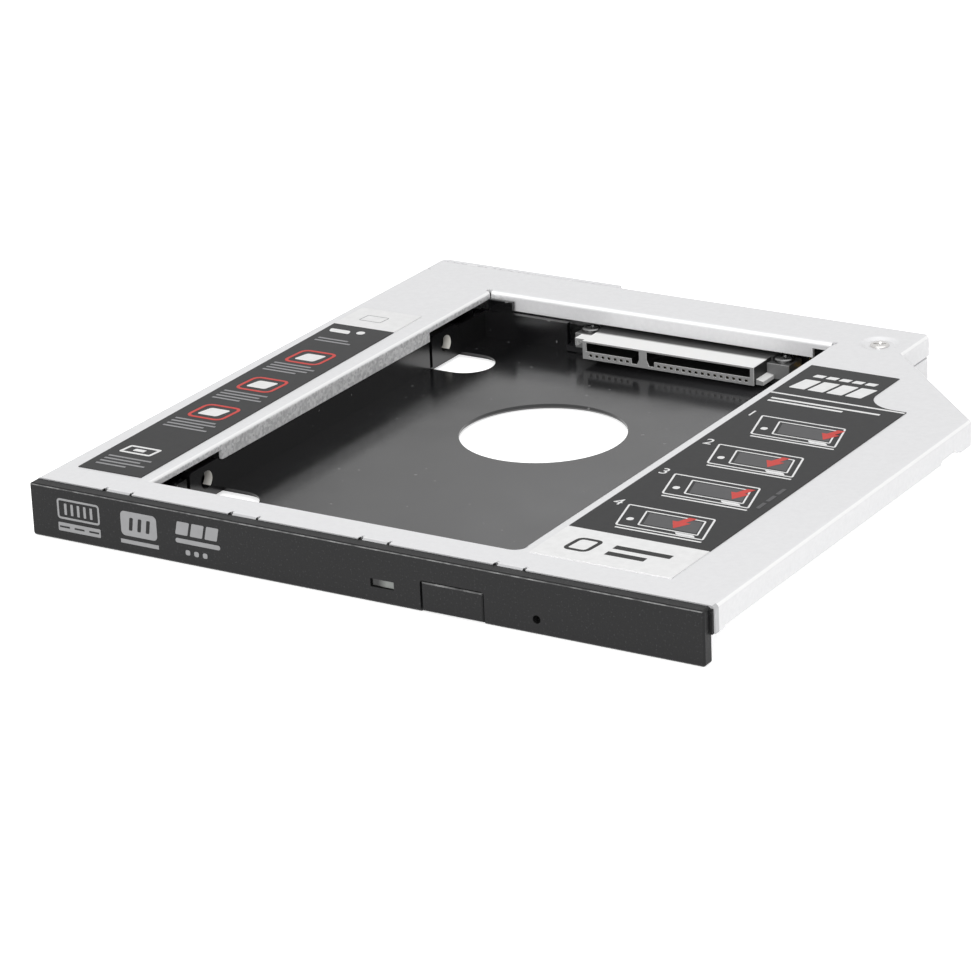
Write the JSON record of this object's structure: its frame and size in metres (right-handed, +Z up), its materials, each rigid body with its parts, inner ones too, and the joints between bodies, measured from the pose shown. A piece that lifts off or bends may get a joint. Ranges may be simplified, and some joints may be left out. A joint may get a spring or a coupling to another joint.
{
  "type": "laptop drive caddy",
  "caption": "Flat silver and black carrier the size of a slim optical drive, with an open bay and a rear-facing socket for one 2.5 inch drive, and a black front bezel with a small push button.",
  "frame": {"origin": "middle of the footprint, on the plane that the caddy lies on", "axes": "X to the right seen from the front bezel, Y from the bezel to the rear, Z up through the open bay"},
  "size_m": [0.128, 0.13, 0.0096],
  "materials": {
    "cover_sheet": "satin",
    "case_sheet": "satin",
    "tray_plastic": "polished",
    "bezel_plastic": "fine texture",
    "spring_steel": "bright",
    "lamp_plastic": "translucent",
    "board": "black solder mask",
    "film": "smooth film",
    "screw_steel": "nickel plated",
    "capacitor": "matte",
    "socket_plastic": "moulded",
    "connector_plastic": "moulded",
    "contact_gold": "gold plated",
    "bracket_sheet": "satin",
    "label": "printed film"
  },
  "bodies": {
    "caddy": {"top_cover": "cover_sheet", "lower_case": "case_sheet", "drive_tray": "tray_plastic", "front_bezel": "bezel_plastic", "button_spring": "spring_steel", "lamp_window": "lamp_plastic", "circuit_board": "board", "board_film": "film", "board_screws": "screw_steel", "board_capacitors": "capacitor", "drive_socket": "socket_plastic", "socket_contacts": "contact_gold", "rear_plug": "connector_plastic", "plug_contacts": "contact_gold", "cover_screw": "screw_steel", "rear_bracket": "bracket_sheet", "bracket_screws": "screw_steel", "case_screws": "screw_steel", "left_label": "label", "right_label": "label"},
    "button": {"eject_button": "bezel_plastic"}
  },
  "joints": [
    {"name": "button_press", "type": "slide", "parent": "caddy", "child": "button", "axis": [0, 1, 0], "range_m": [0, 0.0008], "stiffness_N_per_m": 600, "springref_m": -0.001, "deforming": ["button_spring"]}
  ]
}
